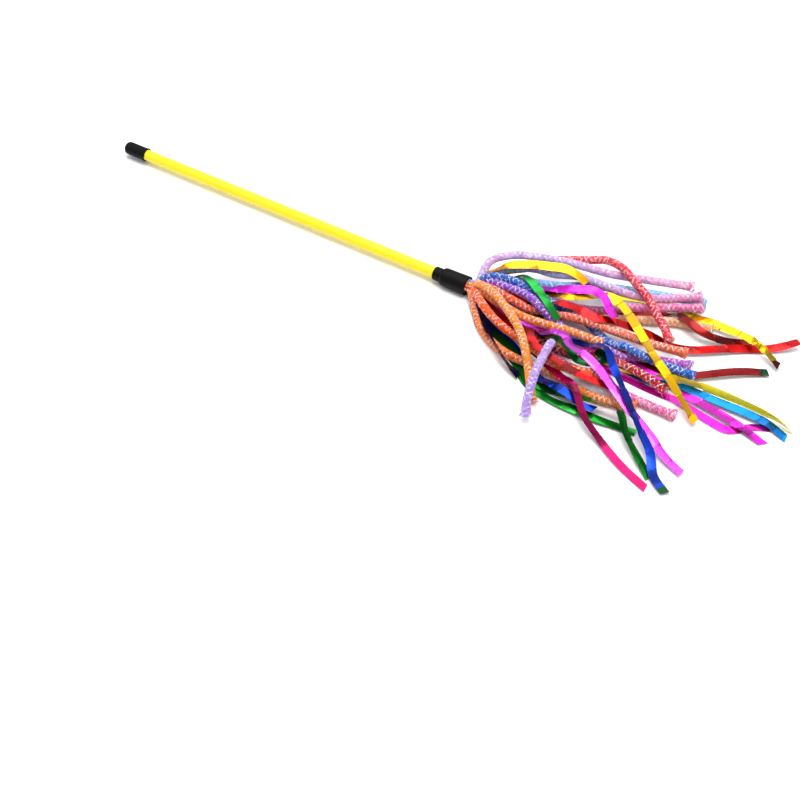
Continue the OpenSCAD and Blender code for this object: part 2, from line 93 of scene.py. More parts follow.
bpy.context.scene.view_settings.view_transform = "Standard"
camera = bpy.data.objects.new("camera", bpy.data.cameras.new("camera"))
camera.data.sensor_fit = "HORIZONTAL"
camera.data.sensor_width = 36
camera.data.lens = 83.37
camera.data.clip_start = 0.01
camera.data.clip_end = 20
camera.location = CAMERA_AT
camera.rotation_euler = CAMERA_WAY.to_track_quat("-Z", "Y").to_euler()
bpy.context.collection.objects.link(camera)
bpy.context.scene.camera = camera

table_white, tree, out = start_material("matt_white_table")
speckle = add(tree, "ShaderNodeTexNoise", {
    "Vector": add(tree, "ShaderNodeTexCoord").outputs["Object"], "Scale": TABLE_PATCHES,
    "Detail": 2.0})
shade = add(tree, "ShaderNodeMix", {
    "Factor": speckle.outputs["Fac"], COLOUR_A: linear("#f6f5f4"), COLOUR_B: linear("#fbfbfa")},
    data_type="RGBA")
paint = add(tree, "ShaderNodeBsdfPrincipled", {
    "Base Color": shade.outputs[COLOUR_OUT], "Roughness": 0.7})
tree.links.new(paint.outputs[0], out.inputs["Surface"])

table = bpy.data.meshes.new("table")
table.from_pydata([(x * TABLE_HALF, y * TABLE_HALF, TABLE_Z) for x, y in (
    (-1, -1), (1, -1), (1, 1), (-1, 1))], [], [(0, 1, 2, 3)])
table.materials.append(table_white)
table_top = bpy.data.objects.new("table_top", table)
bpy.context.collection.objects.link(table_top)

for name, place, size, power in (
        ("top_box", (0.3, 0.0, 1.3), (1.1, 0.8), 17.5),
        ("back_card", (-0.35, 1.15, 1.35), (1.6, 1.2), 9.0),
        ("left_box", (-1.1, -0.5, 0.9), (0.3, 1.0), 4.0),
        ("right_box", (1.5, 0.5, 0.75), (0.3, 1.0), 4.0)):
    lamp = bpy.data.lights.new(name, "AREA")
    lamp.shape = "RECTANGLE"
    lamp.size, lamp.size_y = size
    lamp.energy = power
    light = bpy.data.objects.new(name, lamp)
    light.location = place
    light.rotation_euler = (LAMPS_AIM - Vector(place)).to_track_quat("-Z", "Y").to_euler()
    bpy.context.collection.objects.link(light)

room = bpy.data.worlds.new("room")
bpy.context.scene.world = room
room.use_nodes = True
height = add(room.node_tree, "ShaderNodeSeparateXYZ", {
    "Vector": add(room.node_tree, "ShaderNodeTexCoord").outputs["Generated"]}).outputs["Z"]
walls = add(room.node_tree, "ShaderNodeMapRange", {
    "Value": height, "From Min": 0.1, "From Max": 0.85, "To Min": 0.16, "To Max": 1.0}).outputs[0]
room.node_tree.nodes["Background"].inputs["Color"].default_value = linear("#eef0f4")
seen = add(room.node_tree, "ShaderNodeLightPath").outputs["Is Camera Ray"]
strength = add(room.node_tree, "ShaderNodeMix", {"Factor": seen, "A": walls, "B": 1.0}).outputs[0]
room.node_tree.links.new(strength, room.node_tree.nodes["Background"].inputs["Strength"])


# The strands' routes: each strand leaves the bunch at the sleeve's mouth in its own direction,
# [turn to the side, lift] in degrees, and follows points given in mm from ROUTE_X on the rod's
# line. They are the routes that the solids follow. A ribbon's points end with its twist.
MOUTH_X = 289
ROUTE_X = 291
BEND_X = 293
ROOT_OUT = 5.9
LEAD_SHARE = 1.35
PACKED_R = 3.9
PACKED_OUT = 1.7            # how far outside the mouth a strand's line starts

NET_ROUTES = {
    "net_lilac_arch": ((66, 47), [(5, 17, 13), (16, 29, 15), (34, 37, 15), (55, 45, 13), (77, 52, 10),
        (99, 64, 6), (128, 78, 3)]),
    "net_rose_arch": ((60, 8), [(14, 22, 5), (25, 33, 5), (36, 45, 8), (57, 56, 10), (71, 60, 13),
        (85, 56, 15), (97, 49, 14), (110, 43, 11), (121, 34, 9), (132, 26, 6), (139, 19, 4)]),
    "net_blue": ((26, 58), [(11, 5.6, 10.4), (23, 10.6, 10), (40, 11.6, 7.6), (56, 11, 4.4), (71, 11, 3),
        (84, 12, -2), (98, 6, -3), (108, 2, -1), (117, 0, 3.5), (126, -2, 4), (146, -2, 3), (166, 2, 0)]),
    "net_purple": ((14, 38), [(12, 3, 8), (27, 4.6, 8.6), (42, 4, 8.8), (56, -2, 8.8), (71, -6, 4.4),
        (91, -5.6, 0), (106, -5.6, 0), (116, -3.6, -3), (124, 1, -3), (140, 7, -3), (160, 11, -1)]),
    "net_amber": ((-28, 58), [(9, -4, 9.6), (19, -8, 12.4), (30, -13, 12.4), (41, -20, 12), (53, -29, 12),
        (64, -40, 10), (76, -54, 2.6), (88, -71, -3)]),
    "net_orange": ((-26, 34), [(12, -5, 6.4), (23, -9, 6.4), (37, -12, 6.4), (49, -15, 8), (64, -15, 9.2),
        (83, -12, 9), (104, -8, 6)]),
    "net_flame": ((-66, 4), [(10, -12, -0.6), (18, -21, -2.4), (29, -31, -3), (44, -39, -2.7),
        (58, -42, -2.6), (74, -41.4, -2.6), (89, -41.6, -3), (104, -45, -3), (122, -46, -3),
        (136, -43, -3), (146, -40, -3)]),
    "net_tangerine": ((-46, 34), [(11, -10, 5.6), (20, -17, 5.8), (30, -23, 5.4), (44, -28.6, 4.8),
        (58, -31.4, 4.5), (70, -35, 4.4), (81, -39, 4.4), (96, -39, 4.4), (113, -33, 3.4)]),
    "net_coral": ((-6, 36), [(14, -1, 7), (26, -2, 7), (36, -2, 5.4), (45, -1, 2.9), (52, 1, 3.1),
        (65, 4, 3), (76, 4, 6), (91, 8, 4), (108, 9, 4), (132, 11, 4), (153, 17, 2)]),
    "net_lilac_tail": ((1, -14), [(16, 1, -3), (32, -2.6, -3), (52, -5.6, -2.6), (62, -7, -1.6),
        (70, -13, 1), (76, -23.4, 5.2), (79, -34, 12.4), (81, -45, 13), (84, -61, 12), (87, -73, 8),
        (89, -80, 3), (92, -86, -2)]),
    "net_pale_blue": ((46, -8), [(17, 18, 0), (30, 23, 2), (43, 23, 6), (57, 28, 7), (71, 39, 6),
        (91, 51, 3), (113, 62, 0), (140, 73, -2)]),
    "net_pink": ((31, -14), [(18, 12, -3), (36, 19, -3), (54, 22, -3), (72, 23, -2), (87, 29, -1),
        (100, 38, 1), (114, 45, 2), (127, 55, 1), (140, 66, -1)]),
    "net_peach": ((16, -14), [(20, 7, -3), (38, 11, -3), (55, 14, -3), (72, 16, -3), (90, 23, -3),
        (105, 32, -3), (122, 42, -3), (140, 49, -3), (155, 52, -3)]),
    "net_crimson": ((-20, -14), [(20, -5, -3), (36, -10.8, -3), (54, -15, -3), (72, -20.6, -3),
        (88, -17, -3), (102, -14, -1), (125, -13, 0), (141, -15, 0), (156, -18, -2)]),
    "net_rose_low": ((-34, -16), [(21, -10, -3), (37, -18, -3), (55, -22, -3), (73, -27, -3),
        (92, -30, -3), (112, -29, -3), (130, -33, -3), (150, -34, -3), (170, -34, -3)]),
    "net_white": ((46, 34), [(13, 15.6, 9.4), (31, 29, 10), (47, 31, 11), (62, 35, 13), (78, 38, 11),
        (95, 42, 8), (112, 50.6, 5), (128, 63, 4.4), (138, 70, 5)]),
}
FOIL_ROUTES = {
    "foil_gold_short": ((46, 51), [(8, 8, 10.6, 0), (14, 14, 13, 0), (20, 20, 14.6, -10),
        (31, 25.6, 16, -20), (43, 29, 17.4, -25), (53, 33, 17, -25), (64, 32, 16.4, -10),
        (71, 30, 14.6, 0)]),
    "foil_two_tone": ((21, 20), [(12, 3.4, 3.4, 0), (25, 7.4, 1.8, 0), (38, 10.6, 2, 0),
        (47, 15.6, 3.4, -30), (52, 16.8, 6, -40), (58, 16.2, 9, -20), (66, 14.6, 11.6, -10),
        (74, 21, 11, -10), (82, 29, 9.8, -10), (90, 31, 10, -20), (100, 28, 9, -10), (112, 19, 9, -5),
        (125, 8, 9, 0), (138, -3, 9, 5), (152, -12, 6.6, 10), (167, -22, 2, 15), (183, -32, -3, 10)]),
    "foil_green_band": ((44, 20), [(11, 8.4, 4.6, 0), (21, 15, 5.4, 0), (29, 19, 9.6, 10), (36, 15, 13, 0),
        (48, 8, 12.8, 0), (58, 1, 12.6, 0), (70, -6, 8.6, 10)]),
    "foil_magenta": ((33, 10), [(12, 6.4, 2.4, 0), (24, 11, 2.8, 0), (34, 15.8, 3.6, 0),
        (44, 17.6, 6.2, 10), (56, 18.6, 11, -10), (67, 21, 14, -20), (78, 27, 13.6, -20), (88, 24, 14, 0),
        (96, 16, 13, 10), (102, 12, 12.4, 20)]),
    "foil_red_long": ((9, 13), [(12, 1.4, 2.6, 0), (25, 2.8, 2.9, 0), (38, 5.4, 3.4, 0),
        (46, 6.3, 4.3, 20), (53, 6.1, 7.6, 55), (61, 7, 10.2, 10), (72, 9, 10.5, -10), (88, 9, 8.8, -15),
        (100, 13, 8, -10), (112, 16, 6, -10), (126, 21, 1, -10), (138, 22, -2, -10), (150, 26, -3, -15),
        (163, 35, -3, -15), (177, 46, -4, -15), (190, 55, -5, -10), (200, 62, -3, -10), (208, 70, -1, 0)]),
    "foil_wine_curve": ((34, -31), [(12, 7, -5.4, 0), (24, 14, -6.4, 0), (45, 17, -6.4, 0),
        (70, 27, -6.4, 0), (95, 40, -6.4, 0), (115, 49, -5.4, 0), (124, 50.4, -3.7, 0), (131, 49.4, 1, 0),
        (140, 45, 2.6, -20), (153, 42, 0.6, -20), (167, 48, -4, -10), (180, 57.5, -6.2, 0)]),
    "foil_gold_knot": ((50, -24), [(12, 13, -5, 0), (22, 22, -6.4, 0), (40, 32, -6.4, 0),
        (65, 42, -6.4, 0), (95, 56, -6.4, 0), (118, 62, -6.4, 0), (138, 60, -5.4, 0), (150, 58, -3, -20),
        (165, 57, -2, -20), (180, 54, 0, -10), (188, 50, 1.6, -50), (196, 48, -1, 20), (206, 43, -3, 0)]),
    "foil_ruby": ((14, -31), [(12, 1, -5.4, 0), (24, 1, -6.4, 0), (50, 2, -6.4, 0), (80, 3, -6.4, 0),
        (110, 5, -6.4, 0), (140, 2, -6.4, 0), (158, 4, -5, 0), (168, 10, -3.4, -10), (180, 20, -3, -10),
        (190, 28, -3.6, -10), (202, 36, -5, 0)]),
    "foil_azure": ((-25, -31), [(12, -4.6, -5.4, 0), (26, -9.6, -6.4, 0), (50, -11, -6.4, 0),
        (80, -10, -6.4, 0), (115, -9, -6.4, 0), (142, -11, -6.2, 0), (157, -6, -4.4, 0),
        (172, -6.6, -4, -10), (190, -7, -3.4, -10), (208, -7, -3.4, -10), (222, -8, -4, 0),
        (236, -12, -6, 0)]),
    "foil_gold_edge": ((-9.5, -22.5), [(12, -1.2, -3.1, 80), (20, -2.6, -3.2, 90), (27, -4.2, -3.2, 90),
        (36, -6.8, -3.2, 90), (50, -9.8, -3.3, 90), (62, -11.6, -4.1, 45), (70, -11, -5.6, 0),
        (80, -10, -5.8, 0), (104, -10, -5.8, 0), (125, -10, -5.6, 0), (140, -8.6, -3.6, 40),
        (152, -6.6, -0.9, 80), (170, -3.6, -0.6, 90), (190, -2, -1.2, 90), (210, -2, -2, 90),
        (226, -3, -3, 80), (236, -6, -4, 60)]),
    "foil_fuchsia": ((-6, -31), [(12, -1.8, -5.4, 0), (26, -4, -6.4, 0), (50, -5, -6.4, 0),
        (80, -4, -6.4, 0), (115, -3, -6.4, 0), (145, -4.6, -6.4, 0), (162, -10, -5.6, 0),
        (180, -14, -4, -10), (195, -17, -3.6, -10), (210, -20, -4, 0), (226, -24, -6, 0)]),
    "foil_fuchsia_edge": ((-43, -31), [(11, -6.6, -4.8, 0), (26, -14.6, -6.4, 0), (50, -17.6, -6.4, 0),
        (80, -17, -6.4, 0), (115, -16, -6.4, 0), (145, -18, -6.4, 0), (165, -18, -6, 0),
        (178, -21, -5.6, 0), (190, -24, -5.4, -10), (202, -25, -5.4, -10), (214, -14, -6.3, 0),
        (223, -9, -6.4, 0)]),
    "foil_orchid": ((-15, 10), [(12, -3.4, 1.2, 0), (26, -9.8, 1.2, 0), (40, -14, 1.2, 0),
        (54, -15.6, 3.2, 0), (62, -17, 5.2, 0), (68, -21.4, 8.6, 0), (76, -20.8, 12.8, 0),
        (84, -22.4, 14, 0), (90, -27, 13, 10), (102, -29, 11.6, 0), (116, -34, 9, 0), (130, -42, 7, 0),
        (145, -50, 4, 0), (165, -60, 0, 0), (180, -69, -3, 0), (195, -75, -5, 0)]),
    "foil_navy": ((-3, 20), [(12, -1, 3.4, 0), (26, -4.6, 1.2, 0), (40, -8, 1.4, 0), (54, -10, 2.6, 0),
        (62, -11.6, 4, 0), (70, -12.4, 5.1, 0), (80, -12.6, 5, 0), (92, -15, 5.4, 0), (100, -16.4, 9, 0),
        (106, -16.4, 12, 10), (112, -18, 13, 20), (122, -28, 11, 10), (133, -38, 9, 20), (145, -50, 9, 30),
        (158, -62, 5, 20), (172, -73, 0, 10), (182, -87, -4, 0), (194, -95, -5, 0)]),
    "foil_fern": ((-66, -14), [(12, -12, -4, 0), (26, -23.4, -5.7, 0), (44, -29.6, -5.9, 0),
        (60, -39, -6, 0), (76, -52.6, -5.7, 0), (100, -53, -4.4, 0), (122, -53, 0.6, 20),
        (140, -54, 3, 30), (152, -67, 1, 40), (165, -77, -3, 20), (180, -88, -5.8, 0)]),
    "foil_green_arc": ((-62, -30), [(12, -13.2, -5.6, 0), (26, -26.9, -6.4, 0), (44, -32.8, -6.4, 0),
        (60, -42.4, -6.4, 0), (76, -55.4, -6.4, 0), (97, -61, -5.6, 0), (112, -62, -4, -10),
        (125, -62, -4, -10), (140, -60, -5, 0), (155, -58, -6, 0)]),
    "foil_cobalt": ((-50, -44), [(11, -10.4, -6, 0), (26, -20.3, -6.4, 0), (44, -26, -6.4, 0),
        (60, -35, -6.4, 0), (73, -43.4, -6.3, 0), (82, -49, -4, 0), (94, -53.6, 0.6, -10),
        (106, -57, 2, -10), (118, -60, 0.6, 0), (126, -58, -0.6, 0)]),
    "foil_hot_pink": ((-40, 10), [(12, -8.6, 1.4, 0), (24, -15.6, 1, 0), (36, -21, 1.2, 0),
        (46, -25.4, 1.2, 0), (60, -31, 1.4, 0), (74, -36, 1, 0), (86, -41, 0.8, 0), (95, -46, 2.2, 0),
        (104, -50, 4, 0), (112, -57, 5, 20), (124, -69, 1.6, 20), (140, -77, -4, 10), (160, -88, -5.6, 0),
        (182, -97, -6, 0)]),
    "foil_scarlet": ((-27, 20), [(12, -6.4, 3, 0), (23, -13, 1.6, 0), (34, -17, 1.8, 0),
        (45, -19.6, 2.8, 10), (53, -21, 5.6, 45), (58, -23.4, 8.8, 30), (64, -31, 9.6, 10),
        (73, -37, 9, 0), (86, -40, 8.4, 0), (100, -42, 8, 0), (115, -42, 6.6, 0), (129, -39, 4, 0)]),
    "foil_ink": ((-56, 20), [(11, -9.6, 2.8, 0), (19, -17, 2.2, 0), (26, -24.4, 1.4, 10),
        (33, -33, 2.6, 40), (44, -42, 2.6, 45), (56, -49, -1.4, 40), (68, -53, -4.6, 10)]),
    "foil_green_curl": ((8, 0), [(14, 2.6, 0.4, 0), (30, 3, 0.5, 0), (38, 4.6, 0.2, 0), (45, 5, -0.4, 0),
        (51, 2, -0.8, 0), (56, -5, 1.1, 0), (61, -12.4, 1.8, 0), (68, -19, 5.4, 0), (75, -22.2, 9.8, 10),
        (83, -25, 10.4, 20), (91, -29, 9, 20), (101, -32, 7, 10), (110, -28, 6.4, 20), (112, -21, 6.4, 20),
        (104, -16, 7, 10)]),
}


def curve(points, step):
    """Smooth curve through the points, in steps of about the given length."""
    p = np.array(points, float)
    run = [math.sqrt(np.linalg.norm(b[:3] - a[:3])) for a, b in zip(p, p[1:])]
    slopes = [(p[1] - p[0]) / run[0]]
    for b, c, d, u, v in zip(p, p[1:], p[2:], run, run[1:]):
        slopes.append((c - b) / u - (d - b) / (u + v) + (d - c) / v)
    slopes.append((p[-1] - p[-2]) / run[-1])
    line = []
    for a, b, m, n, u in zip(p, p[1:], slopes, slopes[1:], run):
        chord = (b - a) / u
        for k in range(max(2, round(u * u / step))):
            t = k / max(2, round(u * u / step))
            line.append(a + u * (m * t + (3 * chord - 2 * m - n) * t * t
                                 + (m + n - 2 * chord) * t ** 3))
    return np.array(line + [p[-1]])


def strand_line(root, route, step):
    """A strand's line in mm in the frame, with its twist, and the run along it from its root."""
    side, lift = (math.radians(a) for a in root)
    flat = math.cos(lift)
    way = np.array([flat * math.cos(side), flat * math.sin(side), math.sin(lift)])
    packed = [MOUTH_X - ROUTE_X + PACKED_OUT, PACKED_R * way[1], PACKED_R * way[2], 0]
    bend = np.array([BEND_X - ROUTE_X, 0, 0])
    start = [*(bend + way * ROOT_OUT), 0]
    lead = [*(bend + way * ROOT_OUT * LEAD_SHARE), 0]
    line = curve([packed, start, lead] + [[*q[:3], q[3] if len(q) > 3 else 0] for q in route], step)
    line[:, 0] += ROUTE_X
    steps = np.linalg.norm(np.diff(line[:, :3], axis=0), axis=1)
    run = np.concatenate([[0], np.cumsum(steps)])
    return line, run


def link(name, mesh):
    """A new object of the mesh, at the origin."""
    piece = bpy.data.objects.new(name, mesh)
    bpy.context.collection.objects.link(piece)
    return piece


# The net tubes: soft nylon tubing woven from coloured yarn and flat silver tinsel on the bias,
# about 6 mm across, cut square with a hot blade or scissors, so that its ends fray a little.
NET_D = 6.0
NET_ROOT_R = 1.0
NET_OPEN = 11.0
YARN_D = 0.5
TINSEL_D = 0.56
YARNS = 20
TINSELS = 6
TURN_LEN = 10.0
NET_STEP = 1.5
YARN_STEP = 1.3
YARN_SIDES = 3
TINSEL_TURN = 0.04          # how much of a turn the tinsels start on from the yarns
NET_CLEAR = 0.1
# An end: yarns stand out by up to FRAY_REACH of the tube's radius, over its last FRAY_LEN.
# WHOLE_SHARE of them run to the end, and the others stop short of it by part of CUT_LEN.
FRAY_LEN = 9.0
FRAY_REACH = 0.7
CUT_LEN = 8.0
WHOLE_SHARE = 0.6
CUT_SEED = 50.0
# The dye: dark patches per metre, so they are about 2.4 mm long, the share of its colour that the
# dark keeps, and where along the wand, in m, it runs into the second colour. The silver's painted
# glints, white patches of painted highlight, are as long.
DYE_PATCHES = 420.0
DYE_DEEP = 0.35
DYE_TURN = (0.34, 0.41)
PAINTED_GLINT_PATCHES = 420.0

# Each net's dye, and the one that it runs into towards its end.
NET_COLOURS = {
    "net_lilac_arch": ("#d8b8f4", "#f488c0"), "net_rose_arch": ("#f02c48", "#ee2c44"),
    "net_blue": ("#1f5fc8", "#1a68d0"), "net_purple": ("#8a48d0", "#b850cc"),
    "net_amber": ("#ff8c08", "#ff9818"), "net_orange": ("#ff7c08", "#ff8c18"),
    "net_flame": ("#ff7408", "#ff8418"), "net_tangerine": ("#ff5a04", "#ff6c10"),
    "net_coral": ("#ff5424", "#ff7844"), "net_lilac_tail": ("#b48ce8", "#c4a4ee"),
    "net_pale_blue": ("#6cb4ee", "#80c2f2"), "net_pink": ("#f87cbc", "#f670b4"),
    "net_peach": ("#ffa468", "#ffb078"), "net_crimson": ("#c00c16", "#c81420"),
    "net_rose_low": ("#f04492", "#f05ca6"), "net_white": ("#b0bcf2", "#ee92cc"),
}


def nylon(name, codes):
    """Dyed nylon yarn: clear under its dye, so that light glows in it, and unevenly dyed."""
    material, tree, out = start_material(name)
    where = add(tree, "ShaderNodeTexCoord").outputs["Object"]
    blotch = add(tree, "ShaderNodeTexNoise", {
        "Vector": where, "Scale": DYE_PATCHES, "Detail": 3.0})
    far = add(tree, "ShaderNodeMapRange", {
        "Value": add(tree, "ShaderNodeSeparateXYZ", {"Vector": where}).outputs["X"],
        "From Min": DYE_TURN[0], "From Max": DYE_TURN[1]}).outputs[0]
    dye = add(tree, "ShaderNodeMix", {
        "Factor": far, COLOUR_A: linear(codes[0]), COLOUR_B: linear(codes[1])}, data_type="RGBA")
    deep = add(tree, "ShaderNodeMix", {
        "Factor": add(tree, "ShaderNodeMapRange", {
            "Value": blotch.outputs["Fac"], "From Min": 0.52, "From Max": 0.7,
            "To Max": 0.55}).outputs[0],
        COLOUR_A: dye.outputs[COLOUR_OUT],
        COLOUR_B: [c * DYE_DEEP for c in linear(codes[0])[:3]] + [1.0]}, data_type="RGBA")
    yarn = add(tree, "ShaderNodeBsdfPrincipled", {
        "Base Color": deep.outputs[COLOUR_OUT], "Roughness": 0.34, "IOR": 1.53,
        "Subsurface Weight": 0.4, "Subsurface Radius": (1.0, 1.0, 1.0),
        "Subsurface Scale": 0.3 * MM})
    tree.links.new(yarn.outputs[0], out.inputs["Surface"])
    return material


def slit_tinsel(name, code):
    """Clear polyester film with an evaporated silver layer, with its glints painted on: white patches
    of painted highlight, and elsewhere the yarn's dye painted on it, as if the yarn showed through it.
    The real film is taken to be about 0.3 mm wide. It is drawn wider, or it would not show in the picture."""
    material, tree, out = start_material(name)
    where = add(tree, "ShaderNodeTexCoord").outputs["Object"]
    # Painted highlight: white glints painted on in noise patches, lit by no lamp.
    painted_glint = add(tree, "ShaderNodeMapRange", {
        "Value": add(tree, "ShaderNodeTexNoise", {
            "Vector": where, "Scale": PAINTED_GLINT_PATCHES, "Detail": 0.0}).outputs["Fac"],
        "From Min": 0.4, "From Max": 0.48}).outputs[0]
    painted_glint_colour = add(tree, "ShaderNodeMix", {
        "Factor": painted_glint, COLOUR_A: linear(code), COLOUR_B: linear("#ffffff")}, data_type="RGBA")
    film = add(tree, "ShaderNodeBsdfPrincipled", {
        "Base Color": painted_glint_colour.outputs[COLOUR_OUT], "Metallic": 0.2, "Roughness": 0.24})
    tree.links.new(film.outputs[0], out.inputs["Surface"])
    return material


def net_tree():
    """Winds yarn and tinsel both ways round a line, at the radius that the line carries."""
    tree = bpy.data.node_groups.new("woven_net_tube", "GeometryNodeTree")
    face = tree.interface
    face.new_socket("Geometry", in_out="OUTPUT", socket_type="NodeSocketGeometry")
    for name, kind, value in (
            ("Line", "NodeSocketGeometry", None), ("Yarns", "NodeSocketInt", YARNS),
            ("Tinsels", "NodeSocketInt", TINSELS),
            ("Turn length", "NodeSocketFloat", TURN_LEN * MM),
            ("Yarn radius", "NodeSocketFloat", YARN_D / 2 * MM),
            ("Tinsel radius", "NodeSocketFloat", TINSEL_D / 2 * MM),
            ("Step", "NodeSocketFloat", YARN_STEP * MM), ("Seed", "NodeSocketInt", 7),
            ("Cut share", "NodeSocketFloat", 0.0),
            ("Yarn material", "NodeSocketMaterial", None),
            ("Tinsel material", "NodeSocketMaterial", None)):
        socket = face.new_socket(name, in_out="INPUT", socket_type=kind)
        if value is not None:
            socket.default_value = value
    given = tree.nodes.new("NodeGroupInput").outputs

    def maths(operation, *values):
        return add(tree, "ShaderNodeMath", enumerate(values), operation=operation).outputs[0]

    def vectors(operation, *values, **more):
        return add(tree, "ShaderNodeVectorMath", [*enumerate(values), *more.items()],
                   operation=operation).outputs[0]

    line = add(tree, "GeometryNodeMeshToCurve", {"Mesh": given["Line"]}).outputs[0]
    line = add(tree, "GeometryNodeResampleCurve", {"Curve": line, "Length": given["Step"]},
               mode="LENGTH").outputs[0]
    for name, kind, value in (
            ("run", "FLOAT", add(tree, "GeometryNodeSplineParameter").outputs["Length"]),
            ("along", "FLOAT_VECTOR", add(tree, "GeometryNodeInputTangent").outputs[0]),
            ("out", "FLOAT_VECTOR", add(tree, "GeometryNodeInputNormal").outputs[0])):
        line = add(tree, "GeometryNodeStoreNamedAttribute", {
            "Geometry": line, "Name": name, "Value": value}, data_type=kind).outputs[0]

    def read(name, kind="FLOAT"):
        return add(tree, "GeometryNodeInputNamedAttribute", {"Name": name},
                   data_type=kind).outputs[0]

    parts = []
    for count, radius, material, turn in (
            (given["Yarns"], given["Yarn radius"], given["Yarn material"], 0.0),
            (given["Tinsels"], given["Tinsel radius"], given["Tinsel material"], TINSEL_TURN)):
        copies = add(tree, "GeometryNodeDuplicateElements", {"Geometry": line, "Amount": count},
                     domain="SPLINE")
        number = copies.outputs["Duplicate Index"]
        chance = add(tree, "FunctionNodeRandomValue", {
            "ID": number, "Seed": maths("ADD", given["Seed"], CUT_SEED)},
            data_type="FLOAT").outputs[RANDOM_NUMBER]
        short = maths("MAXIMUM", 0.0, maths("SUBTRACT", chance, WHOLE_SHARE))
        cut = add(tree, "GeometryNodeTrimCurve", {
            "Curve": copies.outputs[0],
            "End": maths("SUBTRACT", 1.0, maths("MULTIPLY", short, given["Cut share"]))},
            mode="FACTOR").outputs[0]
        odd = maths("MODULO", number, 2.0)
        hand = maths("SUBTRACT", 1.0, maths("MULTIPLY", odd, 2.0))
        place = maths("DIVIDE", maths("SUBTRACT", number, odd), count)
        turned = maths("MULTIPLY", maths("DIVIDE", read("run"), given["Turn length"]), hand)
        turns = maths("ADD", turned, maths("ADD", place, turn))
        angle = maths("MULTIPLY", turns, math.tau)
        loose = add(tree, "FunctionNodeRandomValue", {
            "ID": number, "Seed": given["Seed"]}, data_type="FLOAT").outputs[RANDOM_NUMBER]
        reach = maths("MULTIPLY", read("spread"),
                      maths("ADD", 1.0, maths("MULTIPLY", read("fray"), loose)))
        first = read("out", "FLOAT_VECTOR")
        second = vectors("CROSS_PRODUCT", read("along", "FLOAT_VECTOR"), first)
        round_it = vectors("ADD", vectors("SCALE", first, Scale=maths("COSINE", angle)),
                           vectors("SCALE", second, Scale=maths("SINE", angle)))
        wound = add(tree, "GeometryNodeSetPosition", {
            "Geometry": cut, "Offset": vectors("SCALE", round_it, Scale=reach)}).outputs[0]
        section = add(tree, "GeometryNodeCurvePrimitiveCircle", {
            "Resolution": YARN_SIDES, "Radius": radius}, mode="RADIUS").outputs[0]
        solid = add(tree, "GeometryNodeCurveToMesh", {
            "Curve": wound, "Profile Curve": section, "Fill Caps": True}).outputs[0]
        solid = add(tree, "GeometryNodeSetShadeSmooth", {"Geometry": solid}).outputs[0]
        solid = add(tree, "GeometryNodeRealizeInstances", {"Geometry": solid}).outputs[0]
        parts.append(add(tree, "GeometryNodeSetMaterial", {
            "Geometry": solid, "Material": material}).outputs[0])
    joined = add(tree, "GeometryNodeJoinGeometry")
    for part in parts:
        tree.links.new(part, joined.inputs[0])
    add(tree, "NodeGroupOutput", {"Geometry": joined.outputs[0]})
    return tree


def line_mesh(name, points, **values):
    """A mesh of one line in metres, with a value per point for each name."""
    mesh = bpy.data.meshes.new(name)
    mesh.from_pydata([tuple(p) for p in points], [(i, i + 1) for i in range(len(points) - 1)], [])
    for key, numbers in values.items():
        mesh.attributes.new(key, "FLOAT", "POINT").data.foreach_set(
            "value", np.array(numbers, np.float32))
    return mesh


def made(name, source, tree, inputs):
    """What the tree makes of the source mesh, as a plain mesh object."""
    source_object = link(name + "_line", source)
    maker = source_object.modifiers.new("maker", "NODES")
    maker.node_group = tree
    for item in tree.interface.items_tree:
        if item.in_out == "INPUT" and item.name in inputs:
            maker[item.identifier] = inputs[item.name]
    view = bpy.context.evaluated_depsgraph_get()
    view.update()
    mesh = bpy.data.meshes.new_from_object(source_object.evaluated_get(view))
    for key in ("run", "along", "out", "spread", "fray"):
        if key in mesh.attributes:
            mesh.attributes.remove(mesh.attributes[key])
    source_object.modifiers.remove(maker)
    bpy.data.objects.remove(source_object)
    mesh.name = name
    return link(name, mesh)


woven = net_tree()
for seed, (node, (root, route)) in enumerate(NET_ROUTES.items()):
    line, run = strand_line(root, route, NET_STEP)
    opened = np.sin(np.clip(run / NET_OPEN, 0, 1) * math.pi / 2)
    spread = NET_ROOT_R + (NET_D / 2 - YARN_D / 2 - NET_ROOT_R) * opened
    fray = np.clip((run - run[-1] + FRAY_LEN) / FRAY_LEN, 0, 1) ** 2 * FRAY_REACH
    source = line_mesh(node, line[:, :3] * MM, spread=spread * MM, fray=fray)
    tube = made(node + "_woven", source, woven, {
        "Seed": seed, "Yarn material": nylon(node + "_nylon", NET_COLOURS[node]),
        "Tinsel material": slit_tinsel(node + "_tinsel", NET_COLOURS[node][1]),
        "Cut share": CUT_LEN / float(run[-1])})
    places = np.empty(3 * len(tube.data.vertices), np.float32)
    tube.data.vertices.foreach_get("co", places)
    places[2::3] = np.maximum(places[2::3], TABLE_Z + NET_CLEAR * MM)
    tube.data.vertices.foreach_set("co", places)
    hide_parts(node)
    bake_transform(tube)


# The foil ribbons: film with a dyed, evaporated metal layer, slit about 6 mm wide. The film keeps
# each crease, so a flat run ends at once, where the next one mirrors another part of the room. Each
# facet is also painted a shade, as a painted reflection, and each crease is painted darker.
FOIL_W = 6.0
FOIL_ROOT_W = 2.2
FOIL_OPEN = 18.0
FOIL_T = 0.09
FOIL_CELLS = 4
FOIL_STEP = 1.0
FOIL_CLEAR = 0.12
FOIL_SEED = 40
TIP_LEN = 6.0               # the length of the last stretch, which has the tip's colour
END_LEN = 5.0               # the length over which the end grows its slant
LEAN_LEN = 36.0             # the first stretch, where its face turns from leaning back to upright
# Creases: the gap between two in mm, a crease's length, the most that a facet tilts in degrees,
# the most that a crease or the end slants, as a share of the width, and the most that a strip is
# dished in mm.
CREASE_GAP = (6, 16)
CREASE_LEN = 1.2
FACET_TILT = 12
SLANT = 0.6
DISH = 0.3
